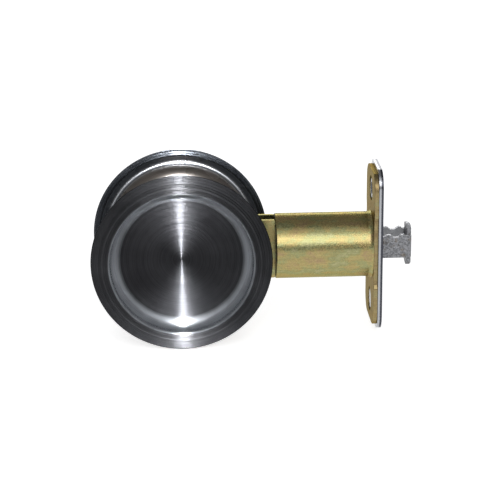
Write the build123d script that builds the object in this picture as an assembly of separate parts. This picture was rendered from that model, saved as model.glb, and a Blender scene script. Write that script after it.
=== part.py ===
from build123d import *
import math
import os

# Pocket door lock, passage type: two flush cups that clamp a sliding door between them,
# and a tubular edge latch with a sheet-metal pull that slides out of the door's edge.
# Frame: the Y axis is the common axis of the cups, X runs to the door's edge, Z is up,
# and the origin lies in the middle of the door's thickness. All sizes are millimetres.

# Door that the lock is made for
DOOR_THICKNESS = 35.0
BACKSET = 69.85               # axis of the cups to the outer face of the faceplate

# Spun cups
ROSE_DIAMETER = 62.5
RIM_THICKNESS = 0.4
RING_RISE = 2.05              # climb of the ring from its rim to its lip
RING_CROWN = 0.2              # bulge of the ring between rim and lip
LIP_DIAMETER = 49.3           # mouth of the finger recess
LIP_ROUND = 1.1
RECESS_DEPTH = 6.75           # lip to floor
RECESS_FILLET = 3.9
CUP_SHEET = 1.0
SEAT_WIDTH = 2.3              # flat back of the rim that bears on the door

# Posts and screws that clamp the cups together
POST_GAP = 0.3                # between a post and the edge of the tail that it stands beside
POST_DIAMETER = 6.0
POST_LENGTH = 21.0
POST_BASE_DIAMETER = 8.6
POST_BASE_THICKNESS = 1.0
POST_THREAD_DEPTH = 11.0
SCREW_DIAMETER = 4.0
SCREW_LENGTH = 13.0
SCREW_HEAD_DIAMETER = 6.8
SCREW_HEAD_HEIGHT = 2.0
SCREW_HEAD_ROUND = 1.2
RECESS_ARM = 3.6              # span of the cross recess in a screw head
RECESS_ARM_WIDTH = 0.9
RECESS_ARM_DEPTH = 1.1
SCREW_HOLE_GAP = 0.25

# Tube of the edge latch
TUBE_DIAMETER = 23.0
TUBE_WALL = 1.0
TUBE_LENGTH = 33.8
FLARE_LENGTH = 1.6
FLARE_RISE = 0.5

# Faceplate and backing plate at the door's edge
PLATE_HEIGHT = 58.0
PLATE_WIDTH = 25.4
PLATE_CORNER = 6.35
FACEPLATE_THICKNESS = 1.5
FACEPLATE_ROUND = 0.45
BACKING_THICKNESS = 1.5
BACKING_INSET = 0.35          # along the sides
BACKING_END_INSET = 1.5       # at the upper and lower ends
WAIST_DEPTH = 0.8             # narrowed middle of the backing plate, beside the tube
WAIST_SLOPE = 1.4
HOLE_SPACING = 41.0
HOLE_DIAMETER = 4.4
DIMPLE_MOUTH = 8.2            # countersink at the outer face
DIMPLE_DROP = 1.2             # how far a dimple stands out behind the faceplate
DIMPLE_FIT = 0.25             # between a dimple and its hole in the backing plate
WINDOW_CORNER = 0.4

# Edge pull, folded from one strip
PULL_SHEET = 1.6
PULL_WIDTH = 11.4
PULL_REACH = 11.15            # how far the pull stands out of the faceplate at rest
PULL_TOP = 4.65
PULL_BOTTOM = -3.7
PULL_BEND = 0.4               # inner radius of the two folds
HEAD_RADIUS = 7.6
HEAD_CLEARANCE = 0.1          # head to faceplate when the pull is pushed in
RELIEF_LENGTH = 0.9           # small dip between the head and the first bump
RELIEF_DEPTH = 0.55
NOTCH_TO_TIP = 5.75           # middle of the detent notch to the outer face of the head
NOTCH_BOTTOM = 1.9
NOTCH_FLANK = 0.8
NOTCH_DEPTH = 0.95
BUMP_LENGTH = 1.0
RAMP_LENGTH = 2.0
RAMP_DROP = 0.85

# Stop pin that limits the pull
PIN_DIAMETER = 3.0
PIN_TO_FACE = 14.0            # stop pin to the outer face of the faceplate, pull out
PULL_HEEL = 3.5               # stop pin to the rear end of the pull

# Tail of two parallel plates
TAIL_SHEET = 1.2
TAIL_INSET = 0.9              # edges of the tail inside the tube's outline
TAIL_END = 12.0               # how far the tail reaches past the axis of the cups
TAIL_END_ROUND = 6.0
TAIL_CORNER = 0.5
HUB_HOLE = 9.0
TONGUE_INSET = 3.0            # edges of the tongues inside the tube's bore
TONGUE_TIP_GAP = 2.5          # front end of the tongues to the backing plate
SPACER_PLACE = 16.0
SPACER_INSET = 3.6            # spacers inside the edges of the tail
SPACER_DIAMETER = 4.4
TENON_DIAMETER = 2.6
RIVET_HEAD = 4.2
RIVET_HEAD_HEIGHT = 0.7

# Moulded guides inside the tube
GUIDE_LENGTH = 9.3
GUIDE_SKIN = 0.6              # wall left beside the corners of the spring pocket
BUSH_LENGTH = 5.0
GUIDE_PIN_DIAMETER = 2.0
GUIDE_PIN_INSET = 0.7         # ends of the guide pin inside the guide's outline
GUIDE_PIN_DEPTH = 4.4         # guide pin to the backing plate
GUIDE_PIN_DROP = 2.1          # guide pin below the pull

# Detent leaf spring and its rivet
LEAF_SHEET = 0.4
LEAF_MARGIN = 0.8             # how far the leaf stays inside the pull's width, each side
LEAF_SEAT = 3.4               # flat length on the roof of the guide
LEAF_TIP_RISE = 0.9
LEAF_TIP_RUN = 0.6
LEAF_BEND = 0.5
LEAF_LIFT = 0.05              # nose of the leaf over the shelf of the pull
SPRING_RIVET_DIAMETER = 1.8
SPRING_RIVET_HEAD = 3.4

# Clearances
SLIDE_GAP = 0.2               # pull in its guide and over the tail
GUIDE_FIT = 0.05              # guides in the tube
PIN_FIT = 0.03                # pins and rivets in their holes
SLOT_GAP = 0.1                # stop pin at the ends of its slots
HEADROOM = 0.35               # over the bumps of the pull
EXTRA = 2.0                   # overshoot of cutting tools

# Planes and places that follow from the driving dimensions
seat_y = DOOR_THICKNESS / 2
rim_y = seat_y + RIM_THICKNESS
lip_y = rim_y + RING_RISE
floor_y = lip_y - RECESS_DEPTH
cup_back_y = floor_y - CUP_SHEET
face_x = BACKSET
joint_x = face_x - FACEPLATE_THICKNESS
back_x = joint_x - BACKING_THICKNESS
tube_rear_x = back_x - TUBE_LENGTH
tube_radius = TUBE_DIAMETER / 2
tube_bore = tube_radius - TUBE_WALL
tail_half = tube_radius - TAIL_INSET
tongue_half = tube_bore - TONGUE_INSET
post_z = tail_half + POST_GAP + POST_DIAMETER / 2
spacer_z = tail_half - SPACER_INSET
guide_radius = tube_bore - GUIDE_FIT
guide_rear_x = back_x - GUIDE_LENGTH
tip_x = face_x + PULL_REACH
travel = PULL_REACH - PULL_SHEET - HEAD_CLEARANCE
pull_half = PULL_WIDTH / 2
pull_inner = pull_half - PULL_SHEET
pin_x = face_x - PIN_TO_FACE
pull_rear_x = pin_x - PULL_HEEL
shelf_z = PULL_TOP - RAMP_DROP
tail_outer = pull_inner - SLIDE_GAP
tail_inner = tail_outer - TAIL_SHEET
tongue_tip_x = back_x - TONGUE_TIP_GAP
window_top = PULL_TOP + HEADROOM
window_bottom = PULL_BOTTOM - SLIDE_GAP
window_half = pull_half + SLIDE_GAP
nose_x = tip_x - NOTCH_TO_TIP - travel
leaf_half = pull_half - LEAF_MARGIN
pocket_half = leaf_half + SLIDE_GAP
pocket_z = math.sqrt((guide_radius - GUIDE_SKIN) ** 2 - pocket_half ** 2)
roof_z = pocket_z - LEAF_SHEET - 2 * RIVET_HEAD_HEIGHT
leaf_rear_x = guide_rear_x + LEAF_MARGIN
leaf_bend_x = leaf_rear_x + LEAF_SEAT
spring_rivet_x = leaf_rear_x + LEAF_SEAT / 2
guide_pin_x = back_x - GUIDE_PIN_DEPTH
guide_pin_z = PULL_BOTTOM - GUIDE_PIN_DROP
guide_pin_half = math.sqrt(guide_radius ** 2 - guide_pin_z ** 2) - GUIDE_PIN_INSET
BASE = (Align.CENTER, Align.CENTER, Align.MIN)


# Helpers for rods and blocks along the axes
def rod_x(radius, x0, x1, z=0.0):
    return Plane((x0, 0, z), x_dir=(0, 1, 0), z_dir=(1, 0, 0)) * Cylinder(radius, x1 - x0, align=BASE)


def rod_y(radius, y0, y1, x=0.0, z=0.0):
    return Plane((x, y0, z), x_dir=(1, 0, 0), z_dir=(0, 1, 0)) * Cylinder(radius, y1 - y0, align=BASE)


def rod_z(radius, z0, z1, x=0.0):
    return Pos(x, 0, z0) * Cylinder(radius, z1 - z0, align=BASE)


def block(x0, x1, y0, y1, z0, z1):
    return Pos((x0 + x1) / 2, (y0 + y1) / 2, (z0 + z1) / 2) * Box(x1 - x0, y1 - y0, z1 - z0)


def span(x0, x1, z0, z1):
    """Rectangle in the X-Z plane, given by its sides."""
    return Pos((x0 + x1) / 2, (z0 + z1) / 2) * Rectangle(x1 - x0, z1 - z0)


def plate_xz(sketch, thickness):
    """Sheet of the given outline, half its thickness to each side of the X-Z plane."""
    return extrude(Plane.XZ * sketch, amount=thickness / 2, both=True)


# Cups: one spun section, turned about the Y axis
def spun_cup():
    rose = ROSE_DIAMETER / 2
    lip = LIP_DIAMETER / 2
    wall = lip + CUP_SHEET
    bend = (lip - RECESS_FILLET, floor_y + RECESS_FILLET)
    heel = (wall, lip_y - CUP_SHEET)
    lip_bend = (lip + LIP_ROUND, lip_y - LIP_ROUND)
    lip_front = (lip_bend[0], lip_y)
    rim_front = (rose, rim_y)
    section = [
        Line((0, cup_back_y), (bend[0], cup_back_y)),
        CenterArc(bend, RECESS_FILLET + CUP_SHEET, -90, 90),
        Polyline((wall, bend[1]), heel, (rose - SEAT_WIDTH, seat_y), (rose, seat_y), rim_front),
        SagittaArc(rim_front, lip_front, -RING_CROWN),
        CenterArc(lip_bend, LIP_ROUND, 90, 90),
        Line((lip, lip_bend[1]), (lip, bend[1])),
        CenterArc(bend, RECESS_FILLET, 0, -90),
        Polyline((bend[0], floor_y), (0, floor_y), (0, cup_back_y)),
    ]
    return revolve(make_face(section), axis=Axis.Y)


def outside_cup():
    return mirror(spun_cup(), about=Plane.XZ)


def inside_cup():
    cup = spun_cup()
    hole = SCREW_DIAMETER / 2 + SCREW_HOLE_GAP
    for side in (1, -1):
        cup -= rod_y(hole, cup_back_y - EXTRA, floor_y + EXTRA, z=side * post_z)
    return cup


# Posts welded to the back of the outside cup, and the screws that enter them
def post(side):
    z = side * post_z
    base_y = -cup_back_y
    end_y = base_y + POST_LENGTH
    body = rod_y(POST_DIAMETER / 2, base_y, end_y, z=z)
    body += rod_y(POST_BASE_DIAMETER / 2, base_y, base_y + POST_BASE_THICKNESS, z=z)
    return body - rod_y(SCREW_DIAMETER / 2 + PIN_FIT, end_y - POST_THREAD_DEPTH, end_y + EXTRA, z=z)


def screw(side):
    z = side * post_z
    head = Cylinder(SCREW_HEAD_DIAMETER / 2, SCREW_HEAD_HEIGHT, align=BASE)
    head = fillet(head.edges().group_by(Axis.Z)[-1], SCREW_HEAD_ROUND)
    recess_z = SCREW_HEAD_HEIGHT - RECESS_ARM_DEPTH
    for turn in (0, 90):
        arm = Box(RECESS_ARM, RECESS_ARM_WIDTH, RECESS_ARM_DEPTH + EXTRA, align=BASE)
        head -= Pos(0, 0, recess_z) * Rot(0, 0, turn) * arm
    shank = Cylinder(SCREW_DIAMETER / 2, SCREW_LENGTH, align=(Align.CENTER, Align.CENTER, Align.MAX))
    return Plane((0, floor_y, z), x_dir=(1, 0, 0), z_dir=(0, 1, 0)) * (head + shank)


# Tube of the edge latch, flared where it meets the backing plate
def latch_tube():
    flare_start = (back_x - FLARE_LENGTH, tube_radius)
    foot = (back_x, tube_radius + FLARE_RISE)
    section = [
        TangentArc(flare_start, foot, tangent=(1, 0)),
        Polyline(foot, (back_x, tube_bore), (tube_rear_x, tube_bore)),
        Polyline((tube_rear_x, tube_bore), (tube_rear_x, tube_radius), flare_start),
    ]
    return revolve(make_face(section), axis=Axis.X)


# Plates at the door's edge
def pull_window(gap):
    """Outline of the opening that the pull slides through."""
    height = window_top - window_bottom + 2 * gap
    middle = (window_top + window_bottom) / 2
    return Pos(0, middle) * RectangleRounded(2 * (window_half + gap), height, WINDOW_CORNER)


def faceplate():
    outline = RectangleRounded(PLATE_WIDTH, PLATE_HEIGHT, PLATE_CORNER)
    plate = extrude(Plane.YZ.offset(joint_x) * outline, amount=FACEPLATE_THICKNESS)
    plate = fillet(plate.faces().sort_by(Axis.X)[-1].edges(), FACEPLATE_ROUND)
    window = Plane.YZ.offset(joint_x) * pull_window(0)
    plate -= extrude(window, amount=FACEPLATE_THICKNESS + EXTRA)
    mouth = DIMPLE_MOUTH / 2
    bore = HOLE_DIAMETER / 2
    sink = mouth - bore
    dimple_x = joint_x - DIMPLE_DROP
    for side in (1, -1):
        z = side * HOLE_SPACING / 2
        base = Plane((dimple_x, 0, z), x_dir=(0, 1, 0), z_dir=(1, 0, 0))
        plate += base * Cone(mouth - DIMPLE_DROP / 2, mouth, DIMPLE_DROP, align=BASE)
        plate -= rod_x(bore, dimple_x - EXTRA, face_x + EXTRA, z)
        cone_base = Plane((face_x - sink, 0, z), x_dir=(0, 1, 0), z_dir=(1, 0, 0))
        plate -= cone_base * Cone(bore, mouth, sink, align=BASE)
    return plate


def backing_plate():
    width = PLATE_WIDTH - 2 * BACKING_INSET
    height = PLATE_HEIGHT - 2 * BACKING_END_INSET
    outline = RectangleRounded(width, height, PLATE_CORNER - BACKING_INSET)
    waist = width / 2 - WAIST_DEPTH
    edge = width / 2 + EXTRA
    top = tube_radius
    run = WAIST_SLOPE * (edge - waist) / WAIST_DEPTH
    corners = [(waist, top), (edge, top + run), (edge, -top - run), (waist, -top)]
    notch = make_face(Polyline(*corners, close=True))
    outline -= notch
    outline -= mirror(notch, about=Plane.YZ)
    outline -= pull_window(SLIDE_GAP)
    for side in (1, -1):
        outline -= Pos(0, side * HOLE_SPACING / 2) * Circle(DIMPLE_MOUTH / 2 + DIMPLE_FIT)
    return extrude(Plane.YZ.offset(back_x) * outline, amount=BACKING_THICKNESS)


# Edge pull: a strip folded into a U, with notched top edges and a rounded head
def pull_side():
    """Side outline of the walls, with the detent notch between two bumps."""
    head_s = PULL_SHEET + RELIEF_LENGTH
    notch_s = NOTCH_TO_TIP - NOTCH_BOTTOM / 2
    notch_e = NOTCH_TO_TIP + NOTCH_BOTTOM / 2
    bump_e = notch_e + NOTCH_FLANK + BUMP_LENGTH
    relief_z = PULL_TOP - RELIEF_DEPTH
    notch_z = PULL_TOP - NOTCH_DEPTH
    points = [
        (pull_rear_x, PULL_BOTTOM),
        (tip_x, PULL_BOTTOM),
        (tip_x, relief_z),
        (tip_x - head_s, relief_z),
        (tip_x - head_s, PULL_TOP),
        (tip_x - notch_s + NOTCH_FLANK, PULL_TOP),
        (tip_x - notch_s, notch_z),
        (tip_x - notch_e, notch_z),
        (tip_x - notch_e - NOTCH_FLANK, PULL_TOP),
        (tip_x - bump_e, PULL_TOP),
        (tip_x - bump_e - RAMP_LENGTH, shelf_z),
        (pull_rear_x, shelf_z),
    ]
    return make_face(Polyline(*points, close=True))


def pull_bolt():
    length = tip_x - pull_rear_x
    outer = Pos(pull_rear_x + length / 2, 0) * Rectangle(length, PULL_WIDTH)
    outer = fillet(outer.vertices().group_by(Axis.X)[-1], PULL_BEND + PULL_SHEET)
    inner = Pos(pull_rear_x + length / 2 - PULL_SHEET, 0) * Rectangle(length, 2 * pull_inner)
    inner = fillet(inner.vertices().group_by(Axis.X)[-1], PULL_BEND)
    channel = extrude(outer - inner, amount=HEAD_RADIUS, both=True)
    walls = channel & plate_xz(pull_side(), PULL_WIDTH + EXTRA)
    flat = 2 * (pull_inner - PULL_BEND)
    lug = Circle(HEAD_RADIUS) & Rectangle(flat, 2 * HEAD_RADIUS)
    head = extrude(Plane.YZ.offset(tip_x - PULL_SHEET) * lug, amount=PULL_SHEET)
    return walls + head - rod_y(PIN_DIAMETER / 2 + PIN_FIT, -PULL_WIDTH, PULL_WIDTH, x=pin_x)


def stop_pin():
    return rod_y(PIN_DIAMETER / 2, -pull_half, pull_half, x=pin_x)


# Tail: two plates with tongues that run inside the tube, between the walls of the pull
def tail_plate():
    outline = span(-TAIL_END, tube_rear_x, -tail_half, tail_half)
    outline = fillet(outline.vertices().group_by(Axis.X)[-1], TAIL_CORNER)
    outline = fillet(outline.vertices().group_by(Axis.X)[0], TAIL_END_ROUND)
    slot_z = PIN_DIAMETER / 2 + SLIDE_GAP
    slot_rear = pin_x - travel
    slot_length = travel + PIN_DIAMETER + 2 * SLOT_GAP
    outline += span(tube_rear_x - EXTRA, guide_rear_x, -tongue_half, tongue_half)
    outline += span(guide_rear_x - EXTRA, tongue_tip_x, -tongue_half, PULL_TOP)
    outline -= Circle(HUB_HOLE / 2)
    outline -= Pos((slot_rear + pin_x) / 2, 0) * SlotOverall(slot_length, 2 * slot_z)
    outline -= Pos(guide_pin_x, guide_pin_z) * Circle(GUIDE_PIN_DIAMETER / 2 + PIN_FIT)
    for side in (1, -1):
        place = Pos(SPACER_PLACE, side * spacer_z)
        outline -= place * Circle(TENON_DIAMETER / 2 + PIN_FIT)
    return plate_xz(outline, TAIL_SHEET)


def spacer(side):
    x = SPACER_PLACE
    z = side * spacer_z
    end = tail_outer + RIVET_HEAD_HEIGHT
    body = rod_y(SPACER_DIAMETER / 2, -tail_inner, tail_inner, x, z)
    body += rod_y(TENON_DIAMETER / 2, -end, end, x, z)
    for y0 in (-end, tail_outer):
        body += rod_y(RIVET_HEAD / 2, y0, y0 + RIVET_HEAD_HEIGHT, x, z)
    return body


# Guides inside the tube
def tongue_slots(x0, x1, z0, z1):
    inner = tail_inner - GUIDE_FIT
    outer = tail_outer + GUIDE_FIT
    slots = block(x0, x1, inner, outer, z0, z1)
    return slots + block(x0, x1, -outer, -inner, z0, z1)


def front_guide():
    front = back_x + EXTRA
    rear = guide_rear_x - EXTRA
    guide = rod_x(guide_radius, guide_rear_x, back_x)
    guide -= block(rear, front, -window_half, window_half, window_bottom, window_top)
    guide -= block(rear, front, -pocket_half, pocket_half, roof_z, pocket_z)
    guide -= block(leaf_bend_x - LEAF_BEND, front, -pocket_half, pocket_half, 0, pocket_z)
    guide -= tongue_slots(rear, tongue_tip_x + SLOT_GAP, -tongue_half - GUIDE_FIT, 0)
    guide -= rod_y(GUIDE_PIN_DIAMETER / 2 + PIN_FIT, -TUBE_DIAMETER, TUBE_DIAMETER, guide_pin_x, guide_pin_z)
    return guide - rod_z(SPRING_RIVET_DIAMETER / 2 + PIN_FIT, 0, roof_z + EXTRA, spring_rivet_x)


def rear_bush():
    bush = rod_x(guide_radius, tube_rear_x, tube_rear_x + BUSH_LENGTH)
    tongue = tongue_half + GUIDE_FIT
    return bush - tongue_slots(tube_rear_x - EXTRA, tube_rear_x + BUSH_LENGTH + EXTRA, -tongue, tongue)


def guide_pin():
    return rod_y(GUIDE_PIN_DIAMETER / 2, -guide_pin_half, guide_pin_half, guide_pin_x, guide_pin_z)


# Detent: a leaf on the roof of the guide, with a nose that drops into the pull's notch
def detent_spring():
    seat = roof_z + LEAF_SHEET / 2
    nose = shelf_z + LEAF_LIFT + LEAF_SHEET / 2
    path = FilletPolyline(
        (leaf_rear_x, seat),
        (leaf_bend_x, seat),
        (nose_x, nose),
        (nose_x + LEAF_TIP_RUN, nose + LEAF_TIP_RISE),
        radius=LEAF_BEND,
    )
    leaf = make_face(offset(path, amount=LEAF_SHEET / 2, side=Side.BOTH))
    leaf = plate_xz(leaf, 2 * leaf_half)
    return leaf - rod_z(SPRING_RIVET_DIAMETER / 2 + PIN_FIT, 0, roof_z + EXTRA, spring_rivet_x)


def spring_rivet():
    top = roof_z + LEAF_SHEET
    body = rod_z(SPRING_RIVET_DIAMETER / 2, window_top, top + RIVET_HEAD_HEIGHT, spring_rivet_x)
    return body + rod_z(SPRING_RIVET_HEAD / 2, top, top + RIVET_HEAD_HEIGHT, spring_rivet_x)


# One file for each piece
tail_y = (tail_inner + tail_outer) / 2
parts = {
    "outside_cup": outside_cup(),
    "inside_cup": inside_cup(),
    "upper_post": post(1),
    "lower_post": post(-1),
    "upper_screw": screw(1),
    "lower_screw": screw(-1),
    "latch_tube": latch_tube(),
    "faceplate": faceplate(),
    "backing_plate": backing_plate(),
    "pull_bolt": pull_bolt(),
    "stop_pin": stop_pin(),
    "tail_plate_outside": Pos(0, -tail_y, 0) * tail_plate(),
    "tail_plate_inside": Pos(0, tail_y, 0) * tail_plate(),
    "upper_spacer": spacer(1),
    "lower_spacer": spacer(-1),
    "front_guide": front_guide(),
    "rear_bush": rear_bush(),
    "guide_pin": guide_pin(),
    "detent_spring": detent_spring(),
    "spring_rivet": spring_rivet(),
}

os.makedirs("parts", exist_ok=True)
for name, shape in parts.items():
    export_step(shape, f"parts/{name}.step")
print("pull travel", round(travel, 3), "mm")
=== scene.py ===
# %% [markdown]
# # Dressing a pocket door lock
# The lock has two round flush cups that clamp a sliding door between them, and a latch in the
# door's edge with a small folded pull. The CAD model gives the sizes and places.
# This lesson loads it as a fixed frame, models the pieces whose surface needs more care, gives
# each surface its finish, and sets up a floor, lamps and a camera.

# %% Load the frame
import math
import bpy
import bmesh
from mathutils import Matrix, Vector


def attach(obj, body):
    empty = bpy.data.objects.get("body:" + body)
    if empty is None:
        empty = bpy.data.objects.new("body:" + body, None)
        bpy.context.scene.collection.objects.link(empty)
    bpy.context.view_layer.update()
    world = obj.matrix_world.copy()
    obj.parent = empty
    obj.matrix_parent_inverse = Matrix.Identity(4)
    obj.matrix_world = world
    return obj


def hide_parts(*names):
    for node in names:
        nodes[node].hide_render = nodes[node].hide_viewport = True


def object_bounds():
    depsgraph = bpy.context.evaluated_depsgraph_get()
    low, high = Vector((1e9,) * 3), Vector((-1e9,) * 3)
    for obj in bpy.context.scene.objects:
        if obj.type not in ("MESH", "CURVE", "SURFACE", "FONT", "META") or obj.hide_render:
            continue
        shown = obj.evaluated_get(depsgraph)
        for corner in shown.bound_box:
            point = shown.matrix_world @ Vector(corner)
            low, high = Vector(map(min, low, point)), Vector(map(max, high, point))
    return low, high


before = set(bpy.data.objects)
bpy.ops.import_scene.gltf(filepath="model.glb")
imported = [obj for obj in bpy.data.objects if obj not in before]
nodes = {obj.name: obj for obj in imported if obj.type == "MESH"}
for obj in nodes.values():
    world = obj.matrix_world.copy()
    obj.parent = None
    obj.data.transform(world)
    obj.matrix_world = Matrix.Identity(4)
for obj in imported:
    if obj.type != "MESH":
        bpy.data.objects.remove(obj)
cad_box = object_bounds()
MM = 0.001
print("CAD box in mm:", [[round(v / MM, 2) for v in corner] for corner in cad_box])

# %% [markdown]
# ## Camera
# The photograph was taken with a long lens, from a little above and straight in front of the
# near cup. The place of the camera was found by fitting the outlines of both cups and of the
# plates, so it is set by numbers: a position, a point to look at and a small roll.

# %% Camera
CAMERA_PLACE = Vector((-4.575, -587.43, 187.65)) * MM
CAMERA_AIM = Vector((24.28, 0.0, -1.42)) * MM
CAMERA_ROLL = math.radians(-0.438)
LENS = 125.95
SENSOR_WIDTH = 36.0
NEAREST_SEEN = 10 * MM


def facing(place, aim):
    """Stands a camera or a lamp at a place and turns it to a point, as a matrix."""
    turned = (Vector(aim) - Vector(place)).to_track_quat("-Z", "Y").to_matrix().to_4x4()
    return Matrix.Translation(place) @ turned


camera_data = bpy.data.cameras.new("camera")
camera_data.lens = LENS
camera_data.sensor_width = SENSOR_WIDTH
camera_data.clip_start = NEAREST_SEEN
camera = bpy.data.objects.new("camera", camera_data)
bpy.context.scene.collection.objects.link(camera)
camera.matrix_world = facing(CAMERA_PLACE, CAMERA_AIM) @ Matrix.Rotation(CAMERA_ROLL, 4, "Z")
bpy.context.scene.camera = camera
print("camera stands", round((CAMERA_AIM - CAMERA_PLACE).length / MM), "mm from its aim")

# %% [markdown]
# ## Spun cups
# Each cup is one disc of sheet metal, pressed over a former while it turns: a wide sloping ring,
# a rounded lip, a deep recess with a round corner, and an edge that bears on the door.
# A shape that was turned is best made by turning: half its section is drawn as a chain of
# points, the corners of the chain are rounded by a vertex bevel, and Spin carries it round.
# Its main sizes are read from the CAD node that it will stand for, so both always agree.


# %% Read a size from the frame
def span(node, axis):
    """From where to where a CAD node reaches along X, Y or Z, in millimetres."""
    index = "XYZ".index(axis)
    places = [vertex.co[index] / MM for vertex in nodes[node].data.vertices]
    return round(min(places), 3), round(max(places), 3)


def middle(node, axis):
    return sum(span(node, axis)) / 2


print("the outside cup reaches from %s to %s mm along Y" % span("outside_cup", "Y"))


# %% Draw a chain
def deselect():
    if bpy.context.object and bpy.context.object.mode != "OBJECT":
        bpy.ops.object.mode_set(mode="OBJECT")
    bpy.ops.object.select_all(action="DESELECT")


def make_active(piece):
    deselect()
    piece.select_set(True)
    bpy.context.view_layer.objects.active = piece


def chain(name, points):
    """A new object, in edit mode, that is one chain of points in millimetres."""
    deselect()
    bpy.ops.mesh.primitive_plane_add(size=MM)
    piece = bpy.context.object
    piece.name = piece.data.name = name
    bpy.ops.object.mode_set(mode="EDIT")
    bpy.ops.mesh.merge(type="CENTER")
    bpy.ops.transform.translate(value=points[0] * MM)
    for before, after in zip(points, points[1:]):
        bpy.ops.mesh.extrude_region_move(TRANSFORM_OT_translate={"value": (after - before) * MM})
    return piece


# %% Pick and round
SAME_PLACE = 0.01


def pick(piece, test):
    """Selects, in edit mode, the vertices whose place in millimetres passes the test."""
    bpy.ops.mesh.select_mode(type="VERT")
    bpy.ops.mesh.select_all(action="DESELECT")
    mesh = bmesh.from_edit_mesh(piece.data)
    for vertex in mesh.verts:
        vertex.select_set(test(vertex.co / MM))
    mesh.select_flush_mode()
    bmesh.update_edit_mesh(piece.data)


def round_corner(piece, corner, reach, segments):
    """Rounds one corner of a chain. reach is measured along the edges, in millimetres."""
    pick(piece, lambda p: (p - corner).length < SAME_PLACE)
    bpy.ops.mesh.bevel(offset=reach * MM, segments=segments, affect="VERTICES", clamp_overlap=False)


# %% Turn the chain
SMOOTH_ANGLE = math.radians(35)
MERGE_DISTANCE = 0.002
AXES = {"X": Vector((1, 0, 0)), "Y": Vector((0, 1, 0))}
SPOKES = {"X": Vector((0, 0, 1)), "Y": Vector((1, 0, 0))}


def close_up(piece):
    """Merges doubles, turns the faces outwards and shades the smooth runs smooth."""
    bpy.ops.mesh.select_all(action="SELECT")
    bpy.ops.mesh.remove_doubles(threshold=MERGE_DISTANCE * MM)
    bpy.ops.mesh.normals_make_consistent(inside=False)
    bpy.ops.object.mode_set(mode="OBJECT")
    bpy.ops.object.shade_smooth_by_angle(angle=SMOOTH_ANGLE)


def lathe(name, section, axis, centre=(0, 0, 0), steps=48):
    """Turns a section round an axis. Its points are (along, radius) or, where the corner is
    rounded, (along, radius, reach, segments)."""
    centre = Vector(centre)
    corners = [centre + AXES[axis] * p[0] + SPOKES[axis] * p[1] for p in section]
    piece = chain(name, corners)
    for corner, point in zip(corners, section):
        if len(point) > 2:
            round_corner(piece, corner, *point[2:])
    bpy.ops.mesh.select_all(action="SELECT")
    bpy.ops.mesh.spin(steps=steps, angle=2 * math.pi, center=centre * MM, axis=AXES[axis])
    close_up(piece)
    print(name, "was turned in", steps, "steps:", len(piece.data.polygons), "faces")
    return piece


# %% Stand for a CAD node
def stands_for(piece, node, body="lock_case"):
    """Keeps the flat faces flat next to their rounded edges, then lets the piece move with a body
    and take the place of a CAD node."""
    make_active(piece)
    weights = piece.modifiers.new("flat_faces", "WEIGHTED_NORMAL")
    weights.keep_sharp = True
    bpy.ops.object.modifier_apply(modifier=weights.name)
    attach(piece, body)
    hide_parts(node)
    print(piece.name, "stands for", node)


# %% Cups
BACK_DEPTH, LIP_DEPTH = span("inside_cup", "Y")
ROSE_RADIUS = span("inside_cup", "X")[1]
DOOR_THICKNESS = 35.0
SEAT_DEPTH = DOOR_THICKNESS / 2
SEAT_RADIUS = 28.95
RIM_EDGE = 0.4
RIM_DEPTH = SEAT_DEPTH + RIM_EDGE
LIP_RADIUS = 24.65
SHEET = 1.0
FLOOR_DEPTH = BACK_DEPTH + SHEET
WALL_RADIUS = LIP_RADIUS + SHEET
CROWN = 0.2
CROWN_POINTS = 8
CUP_STEPS = 144
LIP_ROUND = 1.1
RECESS_ROUND = 3.9
# A rounding is its reach along both edges, in millimetres, and its number of segments.
BACK_CORNER = (RECESS_ROUND + SHEET, 12)
HEEL = (1.7, 10)
SEAT_EDGE = (0.3, 3)
RIM_BACK_EDGE = (0.15, 3)
RIM_FRONT_EDGE = (0.18, 3)
LIP = (LIP_ROUND, 8)
RECESS_CORNER = (RECESS_ROUND, 18)


def cup_section(side):
    """From the middle of the back, round the rim and the lip, to the middle of the floor."""
    section = [
        (BACK_DEPTH, 0),
        (BACK_DEPTH, WALL_RADIUS, *BACK_CORNER),
        (LIP_DEPTH - SHEET, WALL_RADIUS, *HEEL),
        (SEAT_DEPTH, SEAT_RADIUS, *SEAT_EDGE),
        (SEAT_DEPTH, ROSE_RADIUS, *RIM_BACK_EDGE),
        (RIM_DEPTH, ROSE_RADIUS, *RIM_FRONT_EDGE),
    ]
    for step in range(1, CROWN_POINTS + 1):
        share = step / CROWN_POINTS
        radius = ROSE_RADIUS + share * (LIP_RADIUS + LIP_ROUND - ROSE_RADIUS)
        bulge = CROWN * (1 - (2 * share - 1) ** 2)
        section.append((RIM_DEPTH + share * (LIP_DEPTH - RIM_DEPTH) + bulge, radius))
    section += [
        (LIP_DEPTH, LIP_RADIUS, *LIP),
        (FLOOR_DEPTH, LIP_RADIUS, *RECESS_CORNER),
        (FLOOR_DEPTH, 0),
    ]
    return [(side * along, *rest) for along, *rest in section]


near_cup = lathe("outside_cup_spun", cup_section(-1), "Y", steps=CUP_STEPS)
far_cup = lathe("inside_cup_spun", cup_section(1), "Y", steps=CUP_STEPS)
stands_for(near_cup, "outside_cup")

# %% [markdown]
# ## Screws and posts
# Two posts stand on the back of the outside cup, and two pan-head screws come through the floor
# of the inside cup into them. They are turned too. The cross recess of a head and the holes in the
# far cup are cut with a Boolean modifier, which is then applied: a cut through a round surface is
# slow to model by hand, and a drill or a punch makes it on the real piece as well. One function
# makes both screws, and the lower post is a copy of the upper one.


# %% Cut
TOOL_CLEAR = 1.0
DRILL_SIDES = 48


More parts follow.
